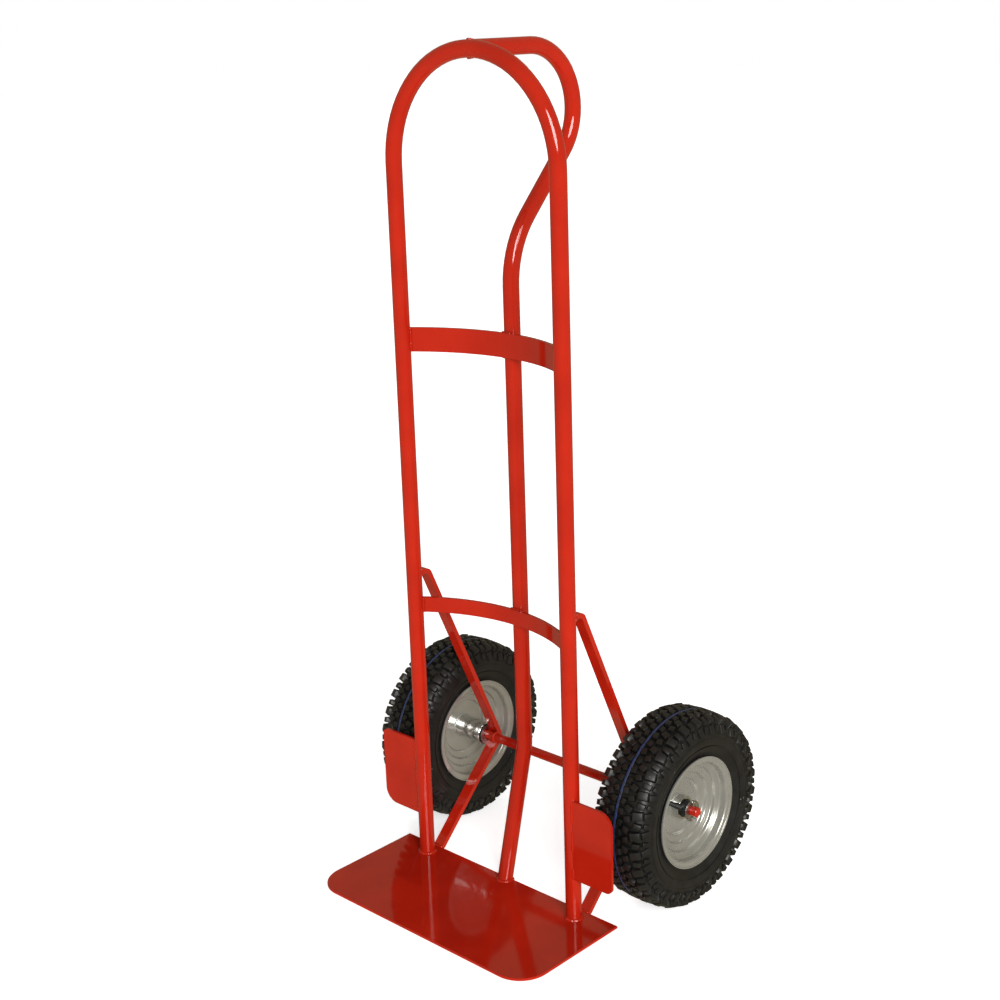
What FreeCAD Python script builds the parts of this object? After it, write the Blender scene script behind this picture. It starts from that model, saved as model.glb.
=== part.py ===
import FreeCAD, Part
import math
import os
import Sketcher
from FreeCAD import Placement, Rotation, Vector

# A two-wheeled steel hand truck. The origin is on the toe plate's underside, midway
# between the rails and in the plane of the rails. +Z is up, -Y points over the toe plate
# (the load side), +Y points back to the wheels and the grip, +X is the right-hand wheel
# for someone who faces the load side from behind.

# Driving dimensions, in millimetres and degrees.
dimensions = [
    ("rail_span", 330.0, "centre to centre of the two rails"),
    ("tube_diameter", 25.4, "hoop and centre tube, outside"),
    ("tube_wall", 2.0, "hoop and centre tube wall"),
    ("arch_height", 1160.0, "height of the arch's centre above the floor"),
    ("plate_overhang", 69.0, "toe plate beyond each rail's axis"),
    ("plate_front", 193.5, "toe plate's front edge, ahead of the rails"),
    ("plate_back", 23.7, "toe plate's back edge, behind the rails"),
    ("plate_thickness", 4.8, "toe plate"),
    ("plate_corner", 50.0, "rounding of the two front corners"),
    ("plate_edge", 0.8, "broken edge all round the toe plate"),
    ("handle_setback", 74.0, "centre tube's axis behind the rails"),
    ("foot_setback", 17.7, "centre tube's axis at the toe plate"),
    ("kink_height", 225.0, "corner where the centre tube turns down to its foot"),
    ("kink_bend", 60.0, "bend radius at that corner"),
    ("sweep_angle", 46.8, "slope of the tube below the grip, from level"),
    ("sweep_bend", 150.0, "bend radius below the grip"),
    ("grip_reach", 223.0, "grip's axis behind the rails"),
    ("grip_bend", 93.0, "bend radius of the grip"),
    ("crown_overlap", 4.0, "how near the hoop's axis the coped tube end reaches"),
    ("upper_strap_drop", 270.0, "middle of the upper strap below the arch's centre"),
    ("upper_strap_width", 38.1, "upper strap, up and down"),
    ("lower_strap_height", 452.0, "middle of the lower strap"),
    ("lower_strap_width", 25.4, "lower strap, up and down"),
    ("strap_thickness", 4.8, "both straps"),
    ("strap_end", 10.0, "rear face of a strap at the rails, behind their axes"),
    ("strap_inset", 4.0, "ends of a strap's bow, inside the rails' axes"),
    ("axle_diameter", 15.9, "solid axle bar"),
    ("axle_overhang", 43.0, "axle beyond the wheels' middle planes"),
    ("axle_chamfer", 1.2, "on both ends of the axle"),
    ("wheel_offset", 75.0, "wheel's middle plane outside the rail's axis"),
    ("tyre_section", 68.0, "top of the tread blocks above the rim's lip"),
    ("tyre_clearance", 7.3, "tread blocks behind the rails' axes"),
    ("brace_width", 19.0, "brace bar across the truck"),
    ("brace_thickness", 8.0, "brace bar, the bent way"),
    ("brace_top", 507.0, "height of the brace's upper end"),
    ("brace_stub", 17.5, "straight upper end of a brace, behind the rail's axis"),
    ("brace_top_bend", 10.0, "bend radius at the top of a brace"),
    ("brace_foot", 18.0, "foot of a brace just under the floor, behind the rails"),
    ("guard_reach", 86.0, "guard plate's outer edge outside the rail's axis"),
    ("guard_bottom", 78.0, "guard plate's lower edge"),
    ("guard_top", 212.0, "guard plate's upper edge"),
    ("guard_thickness", 4.8, "guard plate"),
    ("guard_forward", 7.0, "middle of the guard plate ahead of the rails' axes"),
    ("guard_wide_corner", 24.0, "larger corner radius: top on the right, bottom on the left"),
    ("guard_tight_corner", 11.0, "smaller corner radius: bottom on the right, top on the left"),
    ("washer_radius", 17.0, "axle washers, outside"),
    ("washer_thickness", 2.0, "axle washers"),
    ("axle_fit", 0.08, "running clearance round the axle, on the radius"),
    ("end_play", 0.5, "end clearance of a wheel, each side"),
    ("seat_fit", 0.05, "clearance of pieces that are pressed or welded together"),
    ("pin_radius", 1.6, "split pin shank"),
    ("pin_fit", 0.1, "clearance of the split pin in its hole"),
    ("pin_reach", 12.5, "split pin's ends, from the axle's axis"),
    ("pin_wire", 1.0, "half the thickness of the split pin's eye and legs"),
    ("pin_eye", 2.7, "split pin's eye, to the middle of its wire"),
    ("pin_eye_rise", 2.4, "split pin's eye above the end of its shank"),
    ("pin_leg", 7.2, "split pin's bent legs"),
    ("pin_spread", 55.0, "lean of the split pin's legs"),
    ("hub_radius", 19.0, "hub tube, outside"),
    ("hub_bore", 15.0, "hub tube, inside radius"),
    ("hub_outer_reach", 17.0, "hub tube's outer end from the wheel's middle plane"),
    ("hub_edge", 0.8, "broken edges of the hub tube"),
    ("bush_depth", 24.0, "how far a bush goes into the hub tube"),
    ("bush_flange", 2.5, "inner bush's flange thickness"),
    ("bush_collar", 12.0, "outer bush's collar length"),
    ("bush_collar_radius", 13.5, "outer bush's collar"),
    ("rim_sheet", 2.4, "rim sheet"),
    ("rim_half", 38.0, "flange's tyre-side face from the middle plane"),
    ("rim_lip", 91.0, "rim's outer radius"),
    ("flange_height", 8.5, "rim's lip above the bead seat"),
    ("seat_length", 12.5, "bead seat's length"),
    ("dish_radius", 48.0, "radius of the flat of the dish"),
    ("step_draft", 1.8, "slant of each pressed step between the dish and the bead seat"),
    ("step_round", 2.4, "rounding of the pressed steps"),
    ("flange_round", 3.5, "rounding where the bead seat turns up into the flange"),
    ("curl_round", 1.5, "rounding of the rim's curled lip"),
    ("curl_reach", 4.32, "the curled lip's edge beyond the flange's tyre-side face"),
    ("curl_edge", 1.44, "width of the curled lip's edge"),
    ("curl_start", 3.84, "where the lip starts to curl, below its top"),
    ("tyre_half", 48.0, "half the tyre's widest section"),
    ("tread_half", 37.0, "half the tread's width"),
    ("bead_width", 9.0, "width of a tyre bead"),
    ("side_wall", 7.5, "sidewall thickness"),
    ("tread_depth", 12.0, "tread and carcass thickness at the crown"),
    ("shoulder_drop", 20.0, "from the tread's radius in to the tyre's widest part"),
    ("flank_rise", 22.0, "from the rim's lip out to the tyre's widest part"),
    ("crown_round", 9.0, "rounding of the tread's edge"),
    ("shoulder_round", 16.0, "rounding of the shoulder"),
    ("flank_round", 22.0, "rounding of the lower sidewall"),
    ("bead_rise", 3.0, "from the rim's lip out to where the tyre spreads"),
    ("bead_round", 4.0, "rounding where the tyre spreads over the lip"),
    ("heel_round", 1.5, "rounding of the bead's heel"),
    ("tube_gap", 0.4, "air gap round the inner tube"),
    ("tube_skin", 3.0, "inner tube's wall"),
    ("tube_floor", 3.6, "inner tube's wall over the rim's well"),
    ("tube_foot", 7.0, "half the width of the inner tube's foot in the rim's well"),
    ("tube_foot_rise", 16.0, "inner tube's foot beyond the flat of the dish"),
    ("valve_angle", 149.0, "valve's place round the wheel"),
    ("valve_inset", 7.2, "from the bead seat's step in to the foot of the valve's slant"),
    ("valve_drop", 8.4, "from the bead seat in to the head of the valve's slant"),
    ("valve_root", 20.0, "valve stem's root behind the middle of the slant"),
    ("valve_hole_reach", 15.0, "the valve hole's cut each way from the middle of the slant"),
    ("valve_radius", 4.0, "valve stem"),
    ("valve_length", 27.0, "valve stem beyond the rim"),
    ("valve_cap_radius", 4.9, "valve cap"),
    ("valve_cap_length", 10.0, "valve cap"),
    ("valve_fit", 0.3, "clearance of the valve stem in its hole"),
]

doc = FreeCAD.newDocument("hand_truck")
sheet = doc.addObject("Spreadsheet::Sheet", "Sheet")
for row, (name, number, meaning) in enumerate(dimensions, start=1):
    sheet.set(f"A{row}", name)
    sheet.set(f"B{row}", str(number))
    sheet.set(f"C{row}", meaning)
    sheet.setAlias(f"B{row}", name)
doc.recompute()


class Size:
    """A number with the sheet expression that it comes from."""

    def __init__(self, value, text):
        self.value = value
        self.text = text

    def __add__(self, other):
        return join(self, "+", other)

    def __radd__(self, other):
        return join(other, "+", self)

    def __sub__(self, other):
        return join(self, "-", other)

    def __rsub__(self, other):
        return join(other, "-", self)

    def __mul__(self, other):
        return join(self, "*", other)

    def __rmul__(self, other):
        return join(other, "*", self)

    def __truediv__(self, other):
        return join(self, "/", other)

    def __neg__(self):
        return join(0.0, "-", self)


def asSize(thing):
    if isinstance(thing, Size):
        return thing
    return Size(float(thing), repr(float(thing)))


def join(left, sign, right):
    left = asSize(left)
    right = asSize(right)
    results = {
        "+": left.value + right.value,
        "-": left.value - right.value,
        "*": left.value * right.value,
    }
    if sign == "/":
        results["/"] = left.value / right.value
    return Size(results[sign], f"({left.text} {sign} {right.text})")


def rootOf(size):
    return Size(math.sqrt(size.value), f"sqrt({size.text})")


def tangentOf(angle):
    return Size(math.tan(math.radians(angle.value)), f"tan({angle.text})")


def sineOf(angle):
    return Size(math.sin(math.radians(angle.value)), f"sin({angle.text})")


def cosineOf(angle):
    return Size(math.cos(math.radians(angle.value)), f"cos({angle.text})")


def cell(name):
    return Size(float(sheet.get(name)), f"Sheet.{name}")


def bind(thing, prop, size):
    thing.setExpression(prop, asSize(size).text)


# ---- sketches ----

def newBody(label):
    body = doc.addObject("PartDesign::Body", label)
    body.Label = label
    return body


def newSketch(body, role, label, offset=None):
    planes = [plane for plane in body.Origin.OriginFeatures if plane.Role == role]
    sketch = body.newObject("Sketcher::SketchObject", label)
    sketch.AttachmentSupport = [(planes[0], "")]
    sketch.MapMode = "FlatFace"
    if offset is not None:
        bind(sketch, ".AttachmentOffset.Base.z", offset)
    return sketch


def pin(sketch, geometry, point, across, along):
    """Fixes a point of the sketch at two sheet sizes from the sketch's origin."""
    for kind, size, axis in (("DistanceX", across, -2), ("DistanceY", along, -1)):
        size = asSize(size)
        if size.text == "0.0":
            sketch.addConstraint(Sketcher.Constraint("PointOnObject", geometry, point, axis))
            continue
        place = sketch.addConstraint(
            Sketcher.Constraint(kind, -1, 1, geometry, point, size.value))
        bind(sketch, f"Constraints[{place}]", size)


def addCircle(sketch, across, along, radius):
    across, along, radius = asSize(across), asSize(along), asSize(radius)
    centre = Vector(across.value, along.value, 0)
    ring = sketch.addGeometry(Part.Circle(centre, Vector(0, 0, 1), radius.value))
    pin(sketch, ring, 3, across, along)
    place = sketch.addConstraint(Sketcher.Constraint("Radius", ring, radius.value))
    bind(sketch, f"Constraints[{place}]", radius)


def addRun(sketch, corners, closed):
    """Draws straight runs through corners (across, along, bend radius or None)."""
    corners = [(asSize(c[0]), asSize(c[1]), c[2] if len(c) > 2 else None) for c in corners]
    count = len(corners)
    spots = [Vector(c[0].value, c[1].value, 0) for c in corners]
    arcs = {}
    for place, corner in enumerate(corners):
        if corner[2] is None:
            continue
        before = (spots[place - 1] - spots[place]).normalize()
        after = (spots[(place + 1) % count] - spots[place]).normalize()
        half = before.getAngle(after) / 2
        radius = asSize(corner[2])
        reach = radius.value / math.tan(half)
        enter = spots[place] + before * reach
        leave = spots[place] + after * reach
        middle = spots[place] + (before + after).normalize() * (radius.value / math.sin(half))
        leftTurn = (-before).cross(after).z > 0
        first, last = (enter, leave) if leftTurn else (leave, enter)
        start = math.atan2(first.y - middle.y, first.x - middle.x)
        stop = math.atan2(last.y - middle.y, last.x - middle.x)
        circle = Part.Circle(middle, Vector(0, 0, 1), radius.value)
        arcs[place] = (enter, leave, circle, start, stop, leftTurn, radius)
    lines = []
    for place in range(count if closed else count - 1):
        following = (place + 1) % count
        start = arcs[place][1] if place in arcs else spots[place]
        stop = arcs[following][0] if following in arcs else spots[following]
        lines.append(sketch.addGeometry(Part.LineSegment(start, stop)))
    for place, corner in enumerate(corners):
        incoming = lines[place - 1] if place or closed else None
        outgoing = lines[place] if place < len(lines) else None
        if place not in arcs:
            holder = (outgoing, 1) if outgoing is not None else (incoming, 2)
            pin(sketch, holder[0], holder[1], corner[0], corner[1])
            if incoming is not None and outgoing is not None:
                sketch.addConstraint(
                    Sketcher.Constraint("Coincident", incoming, 2, outgoing, 1))
            continue
        circle, start, stop, leftTurn, radius = arcs[place][2:]
        arc = sketch.addGeometry(Part.ArcOfCircle(circle, start, stop))
        enterEnd, leaveEnd = (1, 2) if leftTurn else (2, 1)
        sketch.addConstraint(Sketcher.Constraint("Tangent", incoming, 2, arc, enterEnd))
        sketch.addConstraint(Sketcher.Constraint("Tangent", arc, leaveEnd, outgoing, 1))
        bend = sketch.addConstraint(Sketcher.Constraint("Radius", arc, radius.value))
        bind(sketch, f"Constraints[{bend}]", radius)
        corner_point = sketch.addGeometry(Part.Point(spots[place]), True)
        pin(sketch, corner_point, 1, corner[0], corner[1])
        sketch.addConstraint(Sketcher.Constraint("PointOnObject", corner_point, 1, incoming))
        sketch.addConstraint(Sketcher.Constraint("PointOnObject", corner_point, 1, outgoing))


def padOutline(label, role, corners, thickness, offset=None):
    body = newBody(label)
    sketch = newSketch(body, role, f"{label}_outline", offset)
    addRun(sketch, corners, True)
    pad = body.newObject("PartDesign::Pad", f"{label}_pad")
    pad.Profile = sketch
    bind(pad, "Length", thickness)
    sketch.Visibility = False
    return body, pad


def revolve(label, corners):
    """A ring about the X axis; corners are (place along the axis, radius)."""
    body = newBody(label)
    sketch = newSketch(body, "XY_Plane", f"{label}_section")
    addRun(sketch, corners, True)
    turn = body.newObject("PartDesign::Revolution", f"{label}_turn")
    turn.Profile = sketch
    turn.ReferenceAxis = (sketch, ["H_Axis"])
    turn.Angle = 360
    return body


def cutAway(label, base, tools):
    """The base less the tools, kept as the labelled sub-part."""
    result = base
    for place, tool in enumerate(tools):
        cut = doc.addObject("Part::Cut", f"{label}_cut_{place}")
        cut.Base = result
        cut.Tool = tool
        result = cut
    result.Label = label
    return result


def mirrored(label, source):
    image = doc.addObject("Part::Mirroring", label)
    image.Source = source
    image.Normal = Vector(1, 0, 0)
    image.Label = label
    return image


def boxSpace(label, low, high):
    """A block between two corners, used to cut other pieces."""
    block = doc.addObject("Part::Box", label)
    for side, axis, start, end in zip(("Length", "Width", "Height"), "xyz", low, high):
        bind(block, side, asSize(end) - start)
        bind(block, f"Placement.Base.{axis}", start)
    return block


tube = cell("tube_diameter") / 2
halfSpan = cell("rail_span") / 2
plateTop = cell("plate_thickness")
crown = cell("arch_height") + halfSpan
axleRadius = cell("axle_diameter") / 2
tyreRadius = cell("rim_lip") + cell("tyre_section")
beadSeat = cell("rim_lip") - cell("flange_height")
axleY = tyreRadius + cell("tyre_clearance")
axleZ = tyreRadius
wheelX = halfSpan + cell("wheel_offset")
plateHalf = halfSpan + cell("plate_overhang")


# ---- frame ----

def hoopBody(label, wall):
    """The inverted U of tube, or its solid outside when there is no wall."""
    body = newBody(label)
    path = newSketch(body, "XZ_Plane", f"{label}_path")
    top = cell("arch_height")
    left = path.addGeometry(Part.LineSegment(
        Vector(-halfSpan.value, plateTop.value, 0), Vector(-halfSpan.value, top.value, 0)))
    circle = Part.Circle(Vector(0, top.value, 0), Vector(0, 0, 1), halfSpan.value)
    arch = path.addGeometry(Part.ArcOfCircle(circle, 0, math.pi))
    right = path.addGeometry(Part.LineSegment(
        Vector(halfSpan.value, top.value, 0), Vector(halfSpan.value, plateTop.value, 0)))
    path.addConstraint(Sketcher.Constraint("Tangent", left, 2, arch, 2))
    path.addConstraint(Sketcher.Constraint("Tangent", arch, 1, right, 1))
    path.addConstraint(Sketcher.Constraint("Vertical", left))
    path.addConstraint(Sketcher.Constraint("Vertical", right))
    pin(path, arch, 3, 0.0, top)
    pin(path, left, 1, -halfSpan, plateTop)
    place = path.addConstraint(
        Sketcher.Constraint("DistanceY", -1, 1, right, 2, plateTop.value))
    bind(path, f"Constraints[{place}]", plateTop)
    section = newSketch(body, "XY_Plane", f"{label}_section", plateTop)
    addCircle(section, -halfSpan, 0.0, tube)
    if wall is not None:
        addCircle(section, -halfSpan, 0.0, tube - wall)
    pipe = body.newObject("PartDesign::AdditivePipe", f"{label}_pipe")
    pipe.Profile = section
    pipe.Spine = path
    return body


def centreTube(railSpace):
    """One bent tube: foot, straight back, sweep, grip and the run to the hoop's crown."""
    body = newBody("centre_tube_blank")
    slope = tangentOf(cell("sweep_angle"))
    gripTurn = tangentOf(90.0 - cell("sweep_angle") / 2)
    gripCorner = cell("grip_reach") - cell("grip_bend") + cell("grip_bend") * gripTurn
    sweepCorner = crown - (gripCorner - cell("handle_setback")) * slope
    footLean = (cell("handle_setback") - cell("foot_setback")) / (cell("kink_height") - plateTop)
    footEnd = cell("foot_setback") - footLean * (plateTop + tube)
    path = newSketch(body, "YZ_Plane", "centre_tube_path")
    addRun(path, [
        (cell("crown_overlap"), crown),
        (gripCorner, crown, cell("grip_bend")),
        (cell("handle_setback"), sweepCorner, cell("sweep_bend")),
        (cell("handle_setback"), cell("kink_height"), cell("kink_bend")),
        (footEnd, -tube),
    ], False)
    section = newSketch(body, "XZ_Plane", "centre_tube_section", -cell("crown_overlap"))
    addCircle(section, 0.0, crown, tube)
    addCircle(section, 0.0, crown, tube - cell("tube_wall"))
    pipe = body.newObject("PartDesign::AdditivePipe", "centre_tube_pipe")
    pipe.Profile = section
    pipe.Spine = path
    floor = boxSpace("centre_tube_floor", (-2 * tube, -4 * tube, -8 * tube),
                     (2 * tube, 4 * tube, plateTop))
    return cutAway("centre_tube", body, [railSpace, floor])


def toePlate():
    body, pad = padOutline("toe_plate", "XY_Plane", [
        (-plateHalf, -cell("plate_front"), cell("plate_corner")),
        (plateHalf, -cell("plate_front"), cell("plate_corner")),
        (plateHalf, cell("plate_back")),
        (-plateHalf, cell("plate_back")),
    ], plateTop)
    doc.recompute()
    rims = [f"Edge{i + 1}" for i, edge in enumerate(pad.Shape.Edges)
            if abs(edge.BoundBox.ZLength) < 0.01]
    broken = body.newObject("PartDesign::Chamfer", "toe_plate_edge")
    broken.Base = (pad, rims)
    bind(broken, "Size", cell("plate_edge"))
    return body


def strap(label, height, width, railSpace):
    """A flat bar bowed back to touch the centre tube, coped against both rails."""
    body = newBody(f"{label}_blank")
    back = cell("handle_setback") - tube
    bow = back - cell("strap_end")
    chord = halfSpan - cell("strap_inset")
    outer = (chord * chord + bow * bow) / (2.0 * bow)
    inner = outer - cell("strap_thickness")
    centre = back - outer
    sketch = newSketch(body, "XY_Plane", f"{label}_outline", height - width / 2)
    spread = math.asin(chord.value / outer.value)
    middle = Vector(0, centre.value, 0)
    arcs = []
    for radius in (outer, inner):
        circle = Part.Circle(middle, Vector(0, 0, 1), radius.value)
        arc = sketch.addGeometry(Part.ArcOfCircle(
            circle, math.pi / 2 - spread, math.pi / 2 + spread))
        pin(sketch, arc, 3, 0.0, centre)
        place = sketch.addConstraint(Sketcher.Constraint("Radius", arc, radius.value))
        bind(sketch, f"Constraints[{place}]", radius)
        arcs.append(arc)
    for end, sign in ((1, 1), (2, -1)):
        place = sketch.addConstraint(Sketcher.Constraint(
            "DistanceX", -1, 1, arcs[0], end, sign * chord.value))
        bind(sketch, f"Constraints[{place}]", sign * chord)
        turn = math.pi / 2 - sign * spread
        ray = Vector(math.cos(turn), math.sin(turn), 0)
        edge = sketch.addGeometry(Part.LineSegment(
            middle + ray * outer.value, middle + ray * inner.value))
        sketch.addConstraint(Sketcher.Constraint("Coincident", edge, 1, arcs[0], end))
        sketch.addConstraint(Sketcher.Constraint("Coincident", edge, 2, arcs[1], end))
        sketch.addConstraint(Sketcher.Constraint("PointOnObject", arcs[0], 3, edge))
    pad = body.newObject("PartDesign::Pad", f"{label}_pad")
    pad.Profile = sketch
    bind(pad, "Length", width)
    return cutAway(label, body, [railSpace])


def leftOf(ray):
    return Vector(-ray.y, ray.x, 0)


def rightBrace(railSpace, spaces):
    """A flat bar from the rail's back, down and round the axle, to the toe plate's edge."""
    body = newBody("right_brace_blank")
    bind(body, ".Placement.Base.x", halfSpan)
    top = cell("brace_top")
    bend = cell("brace_top_bend")
    thickness = cell("brace_thickness")
    wrap = axleRadius + thickness / 2
    stub = Vector(cell("brace_stub").value, top.value, 0)
    elbow = stub - Vector(0, bend.value, 0)
    hub = Vector(axleY.value, axleZ.value, 0)
    foot = Vector(cell("brace_foot").value, -thickness.value, 0)
    # the upper leg touches both bend circles on the side away from their centres
    between = hub - elbow
    share = (bend.value - wrap.value) / between.Length
    heading = between / between.Length
    legSide = heading * share + leftOf(heading) * math.sqrt(1 - share * share)
    # the lower leg runs from the axle's bend circle to the foot
    reach = foot - hub
    share = wrap.value / reach.Length
    heading = reach / reach.Length
    footSide = heading * share + leftOf(heading) * math.sqrt(1 - share * share)

    def arcBetween(centre, radius, firstRay, lastRay):
        circle = Part.Circle(centre, Vector(0, 0, 1), radius)
        start = math.atan2(firstRay.y, firstRay.x)
        stop = math.atan2(lastRay.y, lastRay.x)
        return Part.ArcOfCircle(circle, start, stop)

    path = newSketch(body, "YZ_Plane", "brace_path")
    stubLine = path.addGeometry(Part.LineSegment(Vector(0, top.value, 0), stub))
    elbowArc = path.addGeometry(arcBetween(elbow, bend.value, legSide, Vector(0, 1, 0)))
    upperLeg = path.addGeometry(Part.LineSegment(
        elbow + legSide * bend.value, hub + legSide * wrap.value))
    wrapArc = path.addGeometry(arcBetween(hub, wrap.value, footSide, legSide))
    lowerLeg = path.addGeometry(Part.LineSegment(hub + footSide * wrap.value, foot))
    pin(path, stubLine, 1, 0.0, top)
    pin(path, stubLine, 2, cell("brace_stub"), top)
    for first, firstEnd, second, secondEnd in (
            (stubLine, 2, elbowArc, 2), (elbowArc, 1, upperLeg, 1),
            (upperLeg, 2, wrapArc, 2), (wrapArc, 1, lowerLeg, 1)):
        path.addConstraint(Sketcher.Constraint("Tangent", first, firstEnd, second, secondEnd))
    for arc, radius in ((elbowArc, bend), (wrapArc, wrap)):
        place = path.addConstraint(Sketcher.Constraint("Radius", arc, radius.value))
        bind(path, f"Constraints[{place}]", radius)
    pin(path, wrapArc, 3, axleY, axleZ)
    pin(path, lowerLeg, 2, cell("brace_foot"), -thickness)
    section = newSketch(body, "XZ_Plane", "brace_section")
    halfWide = cell("brace_width") / 2
    addRun(section, [
        (-halfWide, top - thickness / 2), (halfWide, top - thickness / 2),
        (halfWide, top + thickness / 2), (-halfWide, top + thickness / 2)], True)
    pipe = body.newObject("PartDesign::AdditivePipe", "brace_pipe")
    pipe.Profile = section
    pipe.Spine = path
    return cutAway("right_brace", body, [railSpace] + spaces)


def guardPlate(label, top, bottom, railSpace):
    """A flat plate ahead of the right tyre, welded to the rail's outer side."""
    edge = halfSpan + cell("guard_reach")
    back = cell("guard_forward") - cell("guard_thickness") / 2
    body, pad = padOutline(f"{label}_blank", "XZ_Plane", [
        (halfSpan, cell("guard_bottom")),
        (edge, cell("guard_bottom"), cell(bottom)),
        (edge, cell("guard_top"), cell(top)),
        (halfSpan, cell("guard_top")),
    ], cell("guard_thickness"), back)
    return cutAway(label, body, [railSpace])


def axleBar(pinSpaces):
    half = wheelX + cell("axle_overhang")
    chamfer = cell("axle_chamfer")
    bar = revolve("axle_bar", [
        (-half, 0.0), (half, 0.0), (half, axleRadius - chamfer),
        (half - chamfer, axleRadius), (-half + chamfer, axleRadius),
        (-half, axleRadius - chamfer)])
    bind(bar, ".Placement.Base.y", axleY)
    bind(bar, ".Placement.Base.z", axleZ)
    return cutAway("axle", bar, pinSpaces)


def onAxle(body, place, side):
    """Puts a ring made about the X axis on the axle, its +X side outwards."""
    if side < 0:
        body.Placement = Placement(Vector(0, 0, 0), Rotation(Vector(0, 0, 1), 180))
    bind(body, ".Placement.Base.x", side * place)
    bind(body, ".Placement.Base.y", axleY)
    bind(body, ".Placement.Base.z", axleZ)
    return body


def ring(label, start, end, inner, outer):
    return revolve(label, [(start, inner), (end, inner), (end, outer), (start, outer)])


def cylinderSpace(label, radius, length, spot, turn):
    cylinder = doc.addObject("Part::Cylinder", label)
    bind(cylinder, "Radius", radius)
    bind(cylinder, "Height", length)
    cylinder.Placement = Placement(Vector(0, 0, 0), turn)
    for axis, size in zip("xyz", spot):
        bind(cylinder, f".Placement.Base.{axis}", size)
    return cylinder


bore = axleRadius + cell("axle_fit")
washer = cell("washer_thickness")
braceFace = halfSpan + cell("brace_width") / 2
hubInner = braceFace + washer + cell("end_play") + cell("bush_flange") - wheelX
hubOuter = cell("hub_outer_reach")
collarEnd = hubOuter + cell("bush_collar")
outerWasher = wheelX + collarEnd + cell("end_play")
pinX = outerWasher + washer + cell("pin_radius") + cell("pin_fit")
upright = Rotation(Vector(0, 0, 1), 0)


def splitPin(label, side):
    """A split pin upright through the axle: shank, eye and two spread legs."""
    radius = cell("pin_radius")
    reach = cell("pin_reach")
    leg = cell("pin_wire")
    shank = cylinderSpace(f"{label}_shank", radius, 2.0 * reach,
                          (side * pinX, axleY, axleZ - reach), upright)
    eye = doc.addObject("Part::Torus", f"{label}_eye")
    bind(eye, "Radius1", cell("pin_eye"))
    bind(eye, "Radius2", leg)
    eye.Placement = Placement(Vector(0, 0, 0), Rotation(Vector(0, 1, 0), 90))
    bind(eye, ".Placement.Base.x", side * pinX)
    bind(eye, ".Placement.Base.y", axleY)
    bind(eye, ".Placement.Base.z", axleZ + reach + cell("pin_eye_rise"))
    pieces = [shank, eye]
    spread = cell("pin_spread").value
    for name, lean in (("front", spread), ("back", -spread)):
        pieces.append(cylinderSpace(
            f"{label}_{name}_leg", leg, cell("pin_leg"),
            (side * pinX, axleY, axleZ - reach + leg), Rotation(Vector(1, 0, 0), 180 + lean)))
    joined = doc.addObject("Part::MultiFuse", label)
    joined.Shapes = pieces
    joined.Label = label
    return joined


# ---- wheels ----

def flipped(corners):
    """The same corners on the other side of the wheel's middle plane."""
    return [(-corner[0],) + corner[1:] for corner in corners]


stepCount = 3


def pressedSteps(inset):
    """Corners of the steps between the flat of the dish and the bead seat, one sheet face."""
    across = (cell("rim_half") - cell("seat_length") - cell("rim_sheet") / 2) / stepCount
    rise = (beadSeat - cell("dish_radius")) / stepCount
    draft = cell("step_draft")
    rounding = cell("step_round")
    corners = []
    for step in range(stepCount):
        start = inset + step * across
        radius = cell("dish_radius") - inset + step * rise
        corners.append((start, radius, rounding))
        corners.append((start + across - draft, radius + draft, rounding))
    corners.append((inset + stepCount * across, beadSeat - inset, rounding))
    return corners


def rimHalf(label, outward):
    """One pressed half of the rim: lip, flange, bead seat, steps and flat."""
    sheetT = cell("rim_sheet")
    flange = cell("rim_half")
    seat = beadSeat
    hub = cell("hub_radius") + cell("seat_fit")
    lip = cell("rim_lip")
    curl = cell("curl_round")
    lipEdge = flange + cell("curl_reach")
    curlEdge = cell("curl_edge")
    visible = pressedSteps(sheetT)
    hidden = pressedSteps(asSize(0.0))
    hidden[0] = hidden[0][:2]
    corners = [(0.0, hub), (sheetT, hub)] + visible + [
        (flange + sheetT, seat - sheetT, cell("flange_round")),
        (flange + sheetT, lip - sheetT, curl / 2),
        (lipEdge, lip - curlEdge),
        (lipEdge, lip),
        (flange + curlEdge, lip, curl),
        (flange, lip - cell("curl_start"), curl),
        (flange, seat, curl),
    ] + hidden[::-1]
    return revolve(label, corners if outward else flipped(corners))


def tyreRing(label):
    """A tyre as a smooth ring out to the top of its tread blocks."""
    seat = beadSeat + cell("seat_fit")
    bead = cell("rim_half") - cell("seat_fit")
    toe = bead - cell("bead_width")
    outerR = tyreRadius
    wide = cell("tyre_half")
    tread = cell("tread_half")
    wall = cell("side_wall")
    spread = cell("rim_lip") + cell("bead_rise")
    crown = cell("crown_round")
    shoulder = cell("shoulder_round")
    beadR = cell("bead_round")
    high = outerR - cell("shoulder_drop")
    low = cell("rim_lip") + cell("flank_rise")
    outside = [
        (tread, outerR, crown), (wide, high, shoulder), (wide, low, cell("flank_round")),
        (bead, spread, beadR), (bead, seat, cell("heel_round"))]
    inside = [
        (tread - wall, outerR - cell("tread_depth"), crown),
        (wide - wall, high - wall / 2, crown),
        (wide - wall, low - wall / 4, shoulder), (toe, spread, beadR), (toe, seat)]
    corners = outside + inside[::-1] + flipped(inside) + flipped(outside)[::-1]
    return revolve(label, corners)


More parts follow.
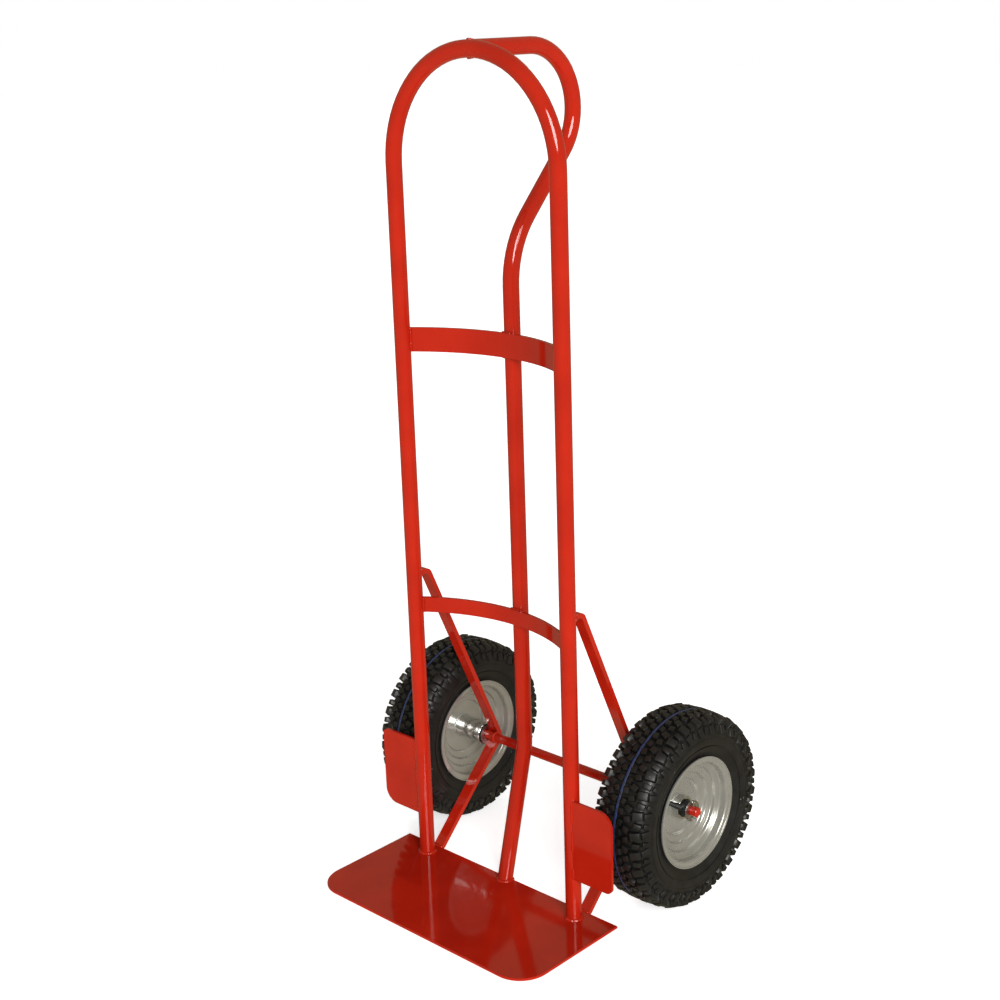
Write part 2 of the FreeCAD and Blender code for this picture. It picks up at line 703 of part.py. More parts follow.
def innerTube(label):
    """A hollow ring that fills the tyre down into the well between the rim halves."""
    gap = cell("tube_gap")
    wall = cell("side_wall")
    wide = cell("tyre_half") - wall - gap
    crownHalf = cell("tread_half") - wall - gap
    top = tyreRadius - cell("tread_depth") - gap
    bulge = tyreRadius - cell("shoulder_drop") - wall / 2 - 2.0 * gap
    flank = cell("rim_lip") + cell("flank_rise") + gap
    waist = cell("rim_half") - cell("bead_width") - gap
    spread = cell("rim_lip") + cell("bead_rise") + 2.0 * gap
    ledge = cell("rim_half") - cell("seat_length") - cell("rim_sheet") / 2 - gap
    seat = beadSeat + gap
    foot = cell("tube_foot")
    low = cell("dish_radius") + cell("tube_foot_rise")
    crown = cell("crown_round")
    shoulder = cell("shoulder_round")
    beadR = cell("bead_round")
    half = [
        (crownHalf, top, crown), (wide, bulge, crown), (wide, flank, shoulder),
        (waist, spread, beadR), (waist, seat), (ledge, seat, cell("step_round")), (foot, low)]
    solid = revolve(f"{label}_solid", half + flipped(half)[::-1])
    skin = cell("tube_skin")
    floor = cell("tube_floor")
    hollow = [
        (crownHalf - skin, top - skin, crown - skin / 2),
        (wide - skin, bulge - skin / 2, crown - skin / 2),
        (wide - skin, flank + skin / 2, shoulder - skin),
        (waist - skin, spread + skin / 3, beadR), (ledge - skin, seat + floor, beadR),
        (foot - skin / 2, low + floor)]
    cavity = revolve(f"{label}_cavity", hollow + flipped(hollow)[::-1])
    return solid, cavity


def outwardRay():
    """The valve's direction in the wheel's section: out of the wheel and towards the axle."""
    run = cell("rim_half") - cell("seat_length") - cell("valve_inset")
    rise = beadSeat - cell("dish_radius") - cell("valve_drop")
    slant = rootOf(run * run + rise * rise)
    return rise / slant, -run / slant, run / 2, cell("dish_radius") + rise / 2


def onValve(label, radius, length, start):
    """A cylinder on the valve's axis, in the wheel's own frame, starting past the dish."""
    alongX, alongR, baseX, baseR = outwardRay()
    angle = cell("valve_angle")
    cylinder = doc.addObject("Part::Cylinder", label)
    bind(cylinder, "Radius", radius)
    bind(cylinder, "Height", length)
    turn = math.radians(angle.value)
    ray = Vector(alongX.value, alongR.value * math.cos(turn), alongR.value * math.sin(turn))
    cylinder.Placement = Placement(Vector(0, 0, 0), Rotation(Vector(0, 0, 1), ray))
    out = baseR + alongR * start
    bind(cylinder, ".Placement.Base.x", baseX + alongX * start)
    bind(cylinder, ".Placement.Base.y", out * cosineOf(angle))
    bind(cylinder, ".Placement.Base.z", out * sineOf(angle))
    return cylinder


def wheelPieces(name, side):
    """The pieces of one wheel, in the wheel's own frame about the X axis, then placed."""
    stemR = cell("valve_radius")
    stemRoot = -cell("valve_root")
    stemLength = cell("valve_length") + cell("valve_root")
    holeReach = cell("valve_hole_reach")
    fit = cell("valve_fit")
    capStart = cell("rim_sheet") + cell("valve_length") - cell("valve_cap_length") / 2
    rimOuter = cutAway(f"{name}_rim_outer", rimHalf(f"{name}_rim_outer_blank", True),
                       [onValve(f"{name}_valve_hole", stemR + fit, 2 * holeReach, -holeReach)])
    rimInner = rimHalf(f"{name}_rim_inner", False)
    tyre = tyreRing(f"{name}_tyre")
    solid, cavity = innerTube(f"{name}_inner_tube")
    tubeRing = cutAway(f"{name}_inner_tube", solid, [cavity])
    stem = cutAway(f"{name}_valve_stem",
                   onValve(f"{name}_valve_bar", stemR, stemLength, stemRoot),
                   [solid])
    cap = cutAway(f"{name}_valve_cap",
                  onValve(f"{name}_cap_bar", cell("valve_cap_radius"),
                          cell("valve_cap_length"), capStart),
                  [onValve(f"{name}_cap_bore", stemR + cell("seat_fit"), stemLength, stemRoot)])
    hubR = cell("hub_radius")
    hubBore = cell("hub_bore")
    edge = cell("hub_edge")
    hub = revolve(f"{name}_hub", [
        (hubInner, hubBore), (hubOuter, hubBore), (hubOuter, hubR - edge),
        (hubOuter - edge, hubR), (hubInner + edge, hubR), (hubInner, hubR - edge)])
    inBush = hubBore - cell("seat_fit")
    depth = cell("bush_depth")
    innerBush = revolve(f"{name}_inner_bush", [
        (hubInner - cell("bush_flange"), bore), (hubInner + depth, bore),
        (hubInner + depth, inBush), (hubInner, inBush), (hubInner, hubR - edge),
        (hubInner - cell("bush_flange"), hubR - edge)])
    collarR = cell("bush_collar_radius")
    outerBush = revolve(f"{name}_outer_bush", [
        (hubOuter - depth, bore), (collarEnd, bore), (collarEnd, collarR - edge),
        (collarEnd - edge, collarR), (hubOuter, collarR), (hubOuter, inBush),
        (hubOuter - depth, inBush)])
    pieces = [rimOuter, rimInner, tyre, tubeRing, stem, cap, hub, innerBush, outerBush]
    return pieces


railSpace = hoopBody("rail_space", None)
plateSpace = boxSpace("plate_space", (-2 * plateHalf, -cell("plate_front"), -4 * tube),
                      (2 * plateHalf, cell("plate_back"), plateTop))
floorSpace = boxSpace("floor_space", (-2 * plateHalf, -cell("plate_front"), -4 * tube),
                      (2 * plateHalf, axleY, 0.0))
hoop = hoopBody("main_hoop", cell("tube_wall"))
frame = [hoop, centreTube(railSpace), toePlate()]
upperHeight = cell("arch_height") - cell("upper_strap_drop")
frame.append(strap("upper_strap", upperHeight, cell("upper_strap_width"), railSpace))
frame.append(strap("lower_strap", cell("lower_strap_height"), cell("lower_strap_width"), railSpace))
brace = rightBrace(railSpace, [plateSpace, floorSpace])
guard = guardPlate("right_guard", "guard_wide_corner", "guard_tight_corner", railSpace)
# the left guard is the same plate turned over
turnedGuard = guardPlate("turned_guard", "guard_tight_corner", "guard_wide_corner", railSpace)
frame += [brace, mirrored("left_brace", brace), guard, mirrored("left_guard", turnedGuard)]
pinHoles = [
    cylinderSpace(f"pin_hole_{name}", cell("pin_radius") + cell("pin_fit"),
                  3 * axleRadius, (side * pinX, axleY, axleZ - 1.5 * axleRadius), upright)
    for name, side in (("left", -1), ("right", 1))]
frame.append(axleBar(pinHoles))

nodes = list(frame)
for name, side in (("left", -1), ("right", 1)):
    washerR = cell("washer_radius")
    nodes.append(onAxle(ring(f"{name}_inner_washer", 0.0, washer, bore, washerR),
                        braceFace, side))
    nodes.append(onAxle(ring(f"{name}_outer_washer", 0.0, washer, bore, washerR),
                        outerWasher, side))
    nodes.append(splitPin(f"{name}_split_pin", side))
    for piece in wheelPieces(name, side):
        nodes.append(onAxle(piece, wheelX, side))

doc.recompute()

# ---- check and write ----

faults = []
for thing in doc.Objects:
    if "Invalid" in thing.State or "Error" in thing.State:
        faults.append(f"{thing.Label}: {thing.State}")
for node in nodes:
    shape = node.Shape
    if shape.isNull() or not shape.isValid() or not shape.Solids:
        faults.append(f"{node.Label}: no valid solid")
if faults:
    raise RuntimeError("; ".join(faults))

os.makedirs("parts", exist_ok=True)
for node in nodes:
    node.Shape.exportStep(f"parts/{node.Label}.step")
    box = node.Shape.BoundBox
    print(f"{node.Label}: {node.Shape.Volume / 1000:.2f} cm3, {len(node.Shape.Solids)} solid, "
          f"x {box.XMin:.1f} {box.XMax:.1f} y {box.YMin:.1f} {box.YMax:.1f} "
          f"z {box.ZMin:.1f} {box.ZMax:.1f}")
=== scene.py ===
import math
import bpy
from mathutils import Matrix, Vector


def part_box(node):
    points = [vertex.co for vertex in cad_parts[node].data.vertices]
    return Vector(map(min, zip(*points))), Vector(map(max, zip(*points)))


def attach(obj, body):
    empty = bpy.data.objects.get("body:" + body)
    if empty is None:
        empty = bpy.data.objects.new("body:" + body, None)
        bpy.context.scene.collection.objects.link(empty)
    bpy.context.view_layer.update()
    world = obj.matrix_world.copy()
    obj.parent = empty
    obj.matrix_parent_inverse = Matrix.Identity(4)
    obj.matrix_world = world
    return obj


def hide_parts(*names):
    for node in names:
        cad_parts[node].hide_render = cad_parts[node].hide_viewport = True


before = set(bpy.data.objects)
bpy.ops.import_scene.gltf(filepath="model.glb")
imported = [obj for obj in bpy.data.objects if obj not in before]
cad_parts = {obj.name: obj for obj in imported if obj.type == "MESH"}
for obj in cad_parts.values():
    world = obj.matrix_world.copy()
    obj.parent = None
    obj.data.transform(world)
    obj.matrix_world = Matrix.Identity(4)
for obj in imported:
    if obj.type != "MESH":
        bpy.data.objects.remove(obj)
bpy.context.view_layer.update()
print("frame loaded with", len(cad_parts), "parts")

mm = 0.001
turn = 2 * math.pi


def clearSelection():
    if bpy.context.object and bpy.context.object.mode != "OBJECT":
        bpy.ops.object.mode_set(mode="OBJECT")
    bpy.ops.object.select_all(action="DESELECT")


def choose(*pieces):
    clearSelection()
    for piece in pieces:
        piece.select_set(True)
    bpy.context.view_layer.objects.active = pieces[-1]


def pick(piece, kind, test):
    # goes into edit mode with only the points, edges or faces that pass the test
    choose(piece)
    mesh = piece.data
    for parts in (mesh.vertices, mesh.edges, mesh.polygons):
        parts.foreach_set("select", [False] * len(parts))
    if kind == "VERT":
        for point in mesh.vertices:
            point.select = test(point.co)
    if kind == "EDGE":
        for edge in mesh.edges:
            start, end = (mesh.vertices[i].co for i in edge.vertices)
            edge.select = test((start + end) / 2, end - start)
    if kind == "FACE":
        for face in mesh.polygons:
            face.select = test(face.center, face.normal)
    bpy.context.tool_settings.mesh_select_mode = (kind == "VERT", kind == "EDGE", kind == "FACE")
    bpy.ops.object.mode_set(mode="EDIT")


def settle(piece, turned=(0, 0, 0), place=(0, 0, 0)):
    # turns and moves a piece, then puts that into its mesh
    piece.rotation_euler = turned
    piece.location = place
    choose(piece)
    bpy.ops.object.transform_apply(location=True, rotation=True, scale=True)


def copyOf(piece, name=None):
    choose(piece)
    bpy.ops.object.duplicate(linked=False)
    if name:
        bpy.context.object.name = name
    return bpy.context.object


def joinAll(pieces, name):
    choose(*pieces)
    bpy.ops.object.join()
    joined = bpy.context.object
    joined.name = name
    return joined


def applyModifier(piece, kind, **settings):
    choose(piece)
    modifier = piece.modifiers.new(kind.title(), kind)
    for name, value in settings.items():
        setattr(modifier, name, value)
    bpy.ops.object.modifier_apply(modifier=modifier.name)


def tidyMesh(piece, sharpAngle=35):
    # closes seams, turns the faces outwards and shades by angle
    choose(piece)
    bpy.ops.object.mode_set(mode="EDIT")
    bpy.ops.mesh.select_all(action="SELECT")
    bpy.ops.mesh.remove_doubles(threshold=0.01 * mm)
    bpy.ops.mesh.normals_make_consistent(inside=False)
    bpy.ops.object.mode_set(mode="OBJECT")
    bpy.ops.object.shade_smooth_by_angle(angle=math.radians(sharpAngle))


def middle(node):
    low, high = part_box(node)
    return (low + high) / 2


def linear(hexText):
    # a paint chart's sRGB hex as the linear colour that a shader wants
    values = []
    for start in (0, 2, 4):
        share = int(hexText[start:start + 2], 16) / 255
        values.append(share / 12.92 if share <= 0.04045 else ((share + 0.055) / 1.055) ** 2.4)
    return (*values, 1)


def addNode(owner, kind, inputs=None, links=None, **settings):
    # one node with its settings, its input values and what is plugged into it
    node = owner.node_tree.nodes.new(kind)
    for name, value in settings.items():
        setattr(node, name, value)
    for name, value in (inputs or {}).items():
        node.inputs[name].default_value = value
    for name, socket in (links or {}).items():
        owner.node_tree.links.new(socket, node.inputs[name])
    return node


def newMaterial(name):
    material = bpy.data.materials.new(name)
    material.use_nodes = True
    material.node_tree.nodes.clear()
    return material


def closeMaterial(material, inputs, links):
    shader = addNode(material, "ShaderNodeBsdfPrincipled", inputs, links)
    addNode(material, "ShaderNodeOutputMaterial", links={"Surface": shader.outputs["BSDF"]})
    return material


def perMetre(sizeMm):
    # noise and voronoi scale for a pattern with features of this size
    return 1 / (sizeMm * mm)


redPaint = {
    "face": "B4200D",
    "deep": "A81B0A",
    "thinEdge": "5A1007",
    "mottleMm": 90,
    "grainMm": 7,
    "orangePeelMm": 3.4,
    "peelDepthMm": 0.006,
    "edgeMm": 1.0,
    "roughness": (0.05, 0.10),
    "scratchMm": 14,
    "scratchDepth": 0.6,
}


def enamel(name, scratched=False):
    # sprayed gloss enamel on steel: a wet even red that mirrors the room through a slight orange peel,
    # thin and dark on sharp edges
    material = newMaterial(name)
    place = addNode(material, "ShaderNodeTexCoord").outputs["Object"]
    mottle = addNode(material, "ShaderNodeTexNoise", {"Scale": perMetre(redPaint["mottleMm"]), "Detail": 4},
                     {"Vector": place})
    thickness = addNode(material, "ShaderNodeMapRange", {"From Min": 0.35, "From Max": 0.65},
                        {"Value": mottle.outputs["Fac"]})
    body = addNode(material, "ShaderNodeMix", {6: linear(redPaint["deep"]), 7: linear(redPaint["face"])},
                   {0: thickness.outputs["Result"]}, data_type="RGBA")
    flat = addNode(material, "ShaderNodeNewGeometry")
    rounded = addNode(material, "ShaderNodeBevel", {"Radius": redPaint["edgeMm"] * mm}, samples=6)
    match = addNode(material, "ShaderNodeVectorMath", operation="DOT_PRODUCT",
                    links={0: rounded.outputs["Normal"], 1: flat.outputs["Normal"]})
    edge = addNode(material, "ShaderNodeMapRange", {"From Min": 0.995, "From Max": 0.88},
                   {"Value": match.outputs["Value"]})
    grain = addNode(material, "ShaderNodeTexNoise",
                    {"Scale": perMetre(redPaint["grainMm"]), "Detail": 6, "Roughness": 0.7},
                    {"Vector": place})
    broken = addNode(material, "ShaderNodeMath", operation="MULTIPLY",
                     links={0: edge.outputs["Result"], 1: grain.outputs["Fac"]})
    colour = addNode(material, "ShaderNodeMix", {7: linear(redPaint["thinEdge"])},
                     {0: broken.outputs["Value"], 6: body.outputs[2]}, data_type="RGBA")
    lowest, highest = redPaint["roughness"]
    sheen = addNode(material, "ShaderNodeMapRange", {"To Min": lowest, "To Max": highest},
                    {"Value": mottle.outputs["Fac"]})
    peel = addNode(material, "ShaderNodeTexNoise",
                   {"Scale": perMetre(redPaint["orangePeelMm"]), "Detail": 2}, {"Vector": place})
    height = peel.outputs["Fac"]
    if scratched:
        # fine scratches left by boxes slid on and off
        streaks = addNode(material, "ShaderNodeMapping", {"Scale": (1, 0.06, 1), "Rotation": (0, 0, 0.35)},
                          {"Vector": place})
        cells = addNode(material, "ShaderNodeTexVoronoi", {"Scale": perMetre(redPaint["scratchMm"])},
                        {"Vector": streaks.outputs["Vector"]}, feature="DISTANCE_TO_EDGE")
        thin = addNode(material, "ShaderNodeMapRange",
                       {"From Min": 0, "From Max": 0.015, "To Min": -redPaint["scratchDepth"], "To Max": 0},
                       {"Value": cells.outputs["Distance"]})
        marked = addNode(material, "ShaderNodeMath", operation="ADD",
                         links={0: height, 1: thin.outputs["Result"]})
        height = marked.outputs["Value"]
    bump = addNode(material, "ShaderNodeBump", {"Strength": 0.35, "Distance": redPaint["peelDepthMm"] * mm},
                   {"Height": height})
    return closeMaterial(material, {"IOR": 1.5},
                         {"Base Color": colour.outputs[2], "Roughness": sheen.outputs["Result"],
                          "Normal": bump.outputs["Normal"]})


rubber = {
    "black": "0A0A0B",
    "dusty": "181818",
    "stripe": "27355F",
    "speck": "8F8D80",
    "dustMm": 26,
    "stripeHalfMm": 1.6,
    "stripeWanderMm": 0.7,
    "wanderMm": 30,
    "rubbedMm": 6,
    "printedFromMm": 156.0,
    "grainMm": 0.9,
    "grainDepthMm": 0.1,
    "speckMm": 9,
    "speckPatchMm": 38,
    "roughness": (0.34, 0.56),
}


def tyreRubber(wheelPlace):
    # carbon black tyre rubber from a mould: near black and satin, dusty in places, a printed blue line
    # round the crown
    material = newMaterial("carbonBlackTyreRubber")
    place = addNode(material, "ShaderNodeTexCoord").outputs["Object"]
    axes = addNode(material, "ShaderNodeSeparateXYZ", links={"Vector": place})
    dust = addNode(material, "ShaderNodeTexNoise",
                   {"Scale": perMetre(rubber["dustMm"]), "Detail": 6, "Roughness": 0.65}, {"Vector": place})
    settled = addNode(material, "ShaderNodeMapRange", {"From Min": 0.42, "From Max": 0.72},
                      {"Value": dust.outputs["Fac"]})
    body = addNode(material, "ShaderNodeMix", {6: linear(rubber["black"]), 7: linear(rubber["dusty"])},
                   {0: settled.outputs["Result"]}, data_type="RGBA")
    # distance to the wheel's middle plane, the same on both wheels
    side = addNode(material, "ShaderNodeMath", operation="ABSOLUTE", links={0: axes.outputs["X"]})
    wander = addNode(material, "ShaderNodeTexNoise", {"Scale": perMetre(rubber["wanderMm"]), "Detail": 1},
                     {"Vector": place})
    reach = rubber["stripeWanderMm"] * mm
    drift = addNode(material, "ShaderNodeMapRange", {"To Min": -reach, "To Max": reach},
                    {"Value": wander.outputs["Fac"]})
    shifted = addNode(material, "ShaderNodeMath", operation="ADD",
                      links={0: side.outputs["Value"], 1: drift.outputs["Result"]})
    away = addNode(material, "ShaderNodeMath", {1: abs(wheelPlace.x)}, {0: shifted.outputs["Value"]},
                   operation="SUBTRACT")
    offCentre = addNode(material, "ShaderNodeMath", operation="ABSOLUTE", links={0: away.outputs["Value"]})
    half = rubber["stripeHalfMm"] * mm
    line = addNode(material, "ShaderNodeMapRange",
                   {"From Min": half, "From Max": 1.3 * half, "To Min": 1, "To Max": 0},
                   {"Value": offCentre.outputs["Value"]})
    rubbed = addNode(material, "ShaderNodeTexNoise", {"Scale": perMetre(rubber["rubbedMm"]), "Detail": 3},
                     {"Vector": place})
    kept = addNode(material, "ShaderNodeMapRange", {"From Min": 0.30, "From Max": 0.50},
                   {"Value": rubbed.outputs["Fac"]})
    stripe = addNode(material, "ShaderNodeMath", operation="MULTIPLY",
                     links={0: line.outputs["Result"], 1: kept.outputs["Result"]})
    # only the outer skin is printed
    across = addNode(material, "ShaderNodeVectorMath", {1: (0, 1, 1)}, {0: place}, operation="MULTIPLY")
    radius = addNode(material, "ShaderNodeVectorMath", {1: (0, wheelPlace.y, wheelPlace.z)},
                     {0: across.outputs["Vector"]}, operation="DISTANCE")
    outer = addNode(material, "ShaderNodeMath", {1: rubber["printedFromMm"] * mm},
                    {0: radius.outputs["Value"]}, operation="GREATER_THAN")
    printed = addNode(material, "ShaderNodeMath", operation="MULTIPLY",
                      links={0: stripe.outputs["Value"], 1: outer.outputs["Value"]})
    withStripe = addNode(material, "ShaderNodeMix", {7: linear(rubber["stripe"])},
                         {0: printed.outputs["Value"], 6: body.outputs[2]}, data_type="RGBA")
    # dried spots of mould release and grit
    cells = addNode(material, "ShaderNodeTexVoronoi", {"Scale": perMetre(rubber["speckMm"])},
                    {"Vector": place})
    spot = addNode(material, "ShaderNodeMapRange", {"From Min": 0.10, "From Max": 0.06},
                   {"Value": cells.outputs["Distance"]})
    patches = addNode(material, "ShaderNodeTexNoise",
                      {"Scale": perMetre(rubber["speckPatchMm"]), "Detail": 2}, {"Vector": place})
    where = addNode(material, "ShaderNodeMapRange", {"From Min": 0.56, "From Max": 0.62},
                    {"Value": patches.outputs["Fac"]})
    grit = addNode(material, "ShaderNodeMath", operation="MULTIPLY",
                   links={0: spot.outputs["Result"], 1: where.outputs["Result"]})
    finished = addNode(material, "ShaderNodeMix", {7: linear(rubber["speck"])},
                       {0: grit.outputs["Value"], 6: withStripe.outputs[2]}, data_type="RGBA")
    lowest, highest = rubber["roughness"]
    satin = addNode(material, "ShaderNodeMapRange", {"To Min": lowest, "To Max": highest},
                    {"Value": dust.outputs["Fac"]})
    skin = addNode(material, "ShaderNodeTexNoise", {"Scale": perMetre(rubber["grainMm"]), "Detail": 4},
                   {"Vector": place})
    bump = addNode(material, "ShaderNodeBump", {"Strength": 0.4, "Distance": rubber["grainDepthMm"] * mm},
                   {"Height": skin.outputs["Fac"]})
    return closeMaterial(material, {"IOR": 1.52},
                         {"Base Color": finished.outputs[2], "Roughness": satin.outputs["Result"],
                          "Normal": bump.outputs["Normal"]})


def simpleFinish(name, light, dark, metallic, roughness, patchMm, grainMm, grainDepth):
    # a skin with cloudy patches in colour and sheen, and a fine grain
    material = newMaterial(name)
    place = addNode(material, "ShaderNodeTexCoord").outputs["Object"]
    patches = addNode(material, "ShaderNodeTexNoise",
                      {"Scale": perMetre(patchMm), "Detail": 5, "Roughness": 0.6}, {"Vector": place})
    cloud = addNode(material, "ShaderNodeMapRange", {"From Min": 0.32, "From Max": 0.66},
                    {"Value": patches.outputs["Fac"]})
    colour = addNode(material, "ShaderNodeMix", {6: linear(dark), 7: linear(light)},
                     {0: cloud.outputs["Result"]}, data_type="RGBA")
    lowest, highest = roughness
    sheen = addNode(material, "ShaderNodeMapRange", {"To Min": lowest, "To Max": highest},
                    {"Value": patches.outputs["Fac"]})
    grain = addNode(material, "ShaderNodeTexNoise", {"Scale": perMetre(grainMm), "Detail": 3},
                    {"Vector": place})
    bump = addNode(material, "ShaderNodeBump", {"Strength": 0.4, "Distance": grainDepth * mm},
                   {"Height": grain.outputs["Fac"]})
    return closeMaterial(material, {"Metallic": metallic},
                         {"Base Color": colour.outputs[2], "Roughness": sheen.outputs["Result"],
                          "Normal": bump.outputs["Normal"]})


wheelPlace = middle("right_tyre")
finishes = {
    "redEnamel": enamel("glossRedEnamel"),
    "plateEnamel": enamel("scratchedRedEnamel", scratched=True),
    "tyreRubber": tyreRubber(wheelPlace),
    # aluminium flake paint on pressed steel: light silver grey, half metallic, a little cloudy
    "rimSilver": simpleFinish("silverRimPaint", "BDBCB6", "B1B0AA", 0.72, (0.23, 0.28), 60, 1.6, 0.003),
    # bright zinc plate: pale mirror, slightly milky
    "hubZinc": simpleFinish("brightZincPlate", "E6E6E3", "C2C4C4", 1.0, (0.10, 0.22), 12, 2.0, 0.008),
    # barrel zinc plate on small parts: greyer and duller than the hub
    "zincHardware": simpleFinish("dullZincPlate", "CFCFCB", "9C9E9F", 1.0, (0.20, 0.36), 6, 1.5, 0.012),
    # moulded nylon: black, satin, faintly pitted
    "bushNylon": simpleFinish("blackNylon", "17181A", "0E0F10", 0.0, (0.34, 0.48), 8, 0.8, 0.03),
    # EPDM rubber, moulded: black and dull
    "valveRubber": simpleFinish("valveRubber", "191918", "10100F", 0.0, (0.50, 0.65), 6, 0.7, 0.03),
    # butyl rubber, extruded: soft dark grey, hidden in the tyre
    "tubeRubber": simpleFinish("butylTubeRubber", "242424", "181818", 0.0, (0.50, 0.65), 20, 1.0, 0.05),
}
nodeFinish = {
    "redEnamel": ["main_hoop", "centre_tube", "upper_strap", "lower_strap", "left_brace", "right_brace",
                  "left_guard", "right_guard", "axle"],
    "plateEnamel": ["toe_plate"],
}
for side in ("left", "right"):
    nodeFinish.setdefault("rimSilver", []).extend([side + "_rim_inner", side + "_rim_outer"])
    nodeFinish.setdefault("hubZinc", []).append(side + "_hub")
    nodeFinish.setdefault("bushNylon", []).extend([side + "_inner_bush", side + "_outer_bush"])
    nodeFinish.setdefault("zincHardware", []).extend(
        [side + "_inner_washer", side + "_outer_washer", side + "_split_pin"])
    nodeFinish.setdefault("valveRubber", []).extend([side + "_valve_stem", side + "_valve_cap"])
    nodeFinish.setdefault("tubeRubber", []).append(side + "_inner_tube")
    nodeFinish.setdefault("tyreRubber", []).append(side + "_tyre")
for finish, nodes in nodeFinish.items():
    for node in nodes:
        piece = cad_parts[node]
        piece.data.materials.clear()
        piece.data.materials.append(finishes[finish])
print("finishes on", sum(len(nodes) for nodes in nodeFinish.values()), "parts")


tyre = {
    "steps": 120,
    # half of the section: across from the middle plane, radius, and how far its corner is rounded, mm
    "outside": [(2.1, 157.4, 0.6), (2.7, 151.6, 0), (27, 151.6, 9), (40.5, 144.5, 7), (47.2, 128, 10),
                (47.6, 112, 9), (37.95, 94, 3.5), (37.95, 82.6, 1.2)],
    "inside": [(28.95, 82.6, 0), (28.95, 94, 4), (40.5, 111, 9), (40.5, 134, 9), (29.5, 147, 7)],
    "pitches": 30,
    "sunkMm": 4,
    "draft": 0.84,
    "edgeMm": 1.0,
    # across, radius at the foot, tilt, share of the pitch, width across, length round, height, twist
    "lugs": [
        (8.1, 151.9, 1, 0.06, 10.5, 12.0, 7.0, 12),
        (8.6, 151.8, 2, 0.55, 9.0, 11.5, 6.8, -14),
        (20.2, 151.2, 5, 0.30, 13.5, 12.0, 6.6, -20),
        (20.4, 151.2, 5, 0.80, 12.0, 11.0, 6.4, 18),
        (34.8, 147.8, 26, 0.06, 18.0, 15.0, 7.6, 8),
        (36.0, 146.8, 28, 0.56, 14.0, 10.0, 7.2, -8),
        (44.6, 136.0, 68, 0.09, 17.0, 12.0, 2.6, 12),
        (44.9, 136.5, 66, 0.54, 12.0, 8.5, 2.2, -14),
    ],
    "ridgeRadii": (100.5, 108.5, 122.0),
    "ridgeMm": 0.7,
    "ridgeSunkMm": 0.3,
    "ridgeSearchMm": 3.5,
}


def drawSection(name, corners):
    # draws a closed outline in the plane of the axle, point by point from one corner
    first = corners[0]
    bpy.ops.mesh.primitive_plane_add(size=mm, location=(first[0] * mm, 0, first[1] * mm))
    piece = bpy.context.object
    piece.name = name
    bpy.ops.object.transform_apply(location=True)
    bpy.ops.object.mode_set(mode="EDIT")
    bpy.ops.mesh.merge(type="CENTER")
    loop = corners[1:] + corners[:1]
    for start, end in zip(corners, loop):
        step = ((end[0] - start[0]) * mm, 0, (end[1] - start[1]) * mm)
        bpy.ops.mesh.extrude_vertices_move(TRANSFORM_OT_translate={"value": step})
    bpy.ops.mesh.select_all(action="SELECT")
    bpy.ops.mesh.remove_doubles(threshold=0.01 * mm)
    for across, up, rounding in corners:
        if rounding:
            spot = Vector((across * mm, 0, up * mm))
            pick(piece, "VERT", lambda point: (point - spot).length < 0.02 * mm)
            bpy.ops.mesh.bevel(offset=rounding * mm, segments=4, affect="VERTICES")
    bpy.ops.object.mode_set(mode="OBJECT")
    return piece


def spinRound(piece, steps):
    choose(piece)
    bpy.ops.object.mode_set(mode="EDIT")
    bpy.ops.mesh.select_all(action="SELECT")
    bpy.ops.mesh.spin(steps=steps, angle=turn, center=(0, 0, 0), axis=(1, 0, 0), use_auto_merge=True)
    tidyMesh(piece)


def treadLug(across, radius, tilt, share, wide, around, tall, twist):
    # one moulded block: a cube drawn in towards its top, its upper edges eased
    bpy.ops.mesh.primitive_cube_add(size=1, location=(0, 0, 0))
    lug = bpy.context.object
    lug.scale = (wide * mm, around * mm, (tall + tyre["sunkMm"]) * mm)
    lug.location.z = (tall - tyre["sunkMm"]) / 2 * mm
    bpy.ops.object.transform_apply(location=True, scale=True)
    pick(lug, "FACE", lambda spot, normal: normal.z > 0.9)
    bpy.ops.transform.resize(value=(tyre["draft"], tyre["draft"], 1))
    pick(lug, "EDGE", lambda spot, along: spot.z > -0.5 * tyre["sunkMm"] * mm)
    bpy.ops.mesh.bevel(offset=tyre["edgeMm"] * mm, segments=2, affect="EDGES")
    settle(lug, (0, 0, math.radians(twist)))
    settle(lug, (0, math.radians(tilt), 0), (across * mm, 0, radius * mm))
    settle(lug, (-share * turn / tyre["pitches"], 0, 0))
    return lug


